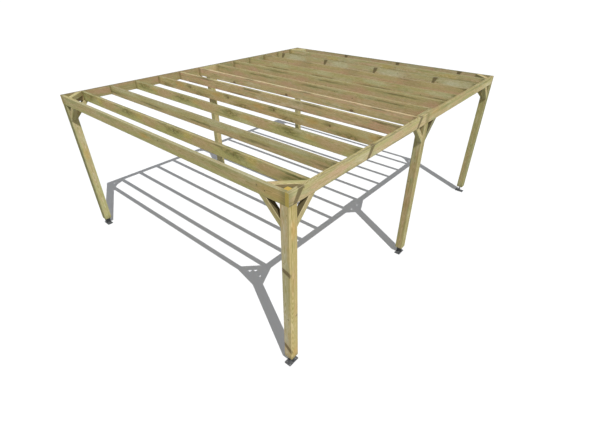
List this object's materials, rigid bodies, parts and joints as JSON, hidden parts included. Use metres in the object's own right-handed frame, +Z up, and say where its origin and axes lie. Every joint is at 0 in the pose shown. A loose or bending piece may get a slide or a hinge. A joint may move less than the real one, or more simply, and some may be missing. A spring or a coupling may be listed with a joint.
{
  "type": "garden pergola",
  "caption": "Free-standing flat-roofed timber pergola: posts on steel feet, a ring of beams on edge, parallel rafters, knee braces and flat corner braces.",
  "frame": {"origin": "on the ground at the middle of the plan", "axes": "+X to the right along the front, +Y from front to back along the sides, +Z up"},
  "size_m": [5.045, 6.005, 2.53],
  "materials": {
    "post_wood": "planed pressure-treated softwood, green-tan",
    "beam_wood": "planed pressure-treated softwood, green-tan",
    "rafter_wood": "planed pressure-treated softwood, green-tan with pink-brown heartwood",
    "brace_wood": "planed pressure-treated softwood, green-tan",
    "foot_steel": "dark grey powder coat, matt",
    "pin_steel": "zinc-coated round bar"
  },
  "bodies": {
    "root": {"post_front_left": "post_wood", "foot_front_left": "foot_steel", "pins_front_left": "pin_steel", "knee_braces_front_left": "brace_wood", "post_front_right": "post_wood", "foot_front_right": "foot_steel", "pins_front_right": "pin_steel", "knee_braces_front_right": "brace_wood", "post_middle_left": "post_wood", "foot_middle_left": "foot_steel", "pins_middle_left": "pin_steel", "knee_braces_middle_left": "brace_wood", "post_middle_right": "post_wood", "foot_middle_right": "foot_steel", "pins_middle_right": "pin_steel", "knee_braces_middle_right": "brace_wood", "post_back_left": "post_wood", "foot_back_left": "foot_steel", "pins_back_left": "pin_steel", "knee_braces_back_left": "brace_wood", "post_back_right": "post_wood", "foot_back_right": "foot_steel", "pins_back_right": "pin_steel", "knee_braces_back_right": "brace_wood", "beam_front": "beam_wood", "beam_left_front": "beam_wood", "corner_brace_front_left": "brace_wood", "beam_right_front": "beam_wood", "corner_brace_front_right": "brace_wood", "beam_back": "beam_wood", "beam_left_back": "beam_wood", "corner_brace_back_left": "brace_wood", "beam_right_back": "beam_wood", "corner_brace_back_right": "brace_wood", "rafter_01": "rafter_wood", "rafter_02": "rafter_wood", "rafter_03": "rafter_wood", "rafter_04": "rafter_wood", "rafter_05": "rafter_wood", "rafter_06": "rafter_wood", "rafter_07": "rafter_wood", "rafter_08": "rafter_wood", "rafter_09": "rafter_wood", "rafter_10": "rafter_wood", "rafter_11": "rafter_wood", "rafter_12": "rafter_wood", "splice_board_left": "beam_wood", "splice_board_right": "beam_wood"}
  },
  "joints": []
}
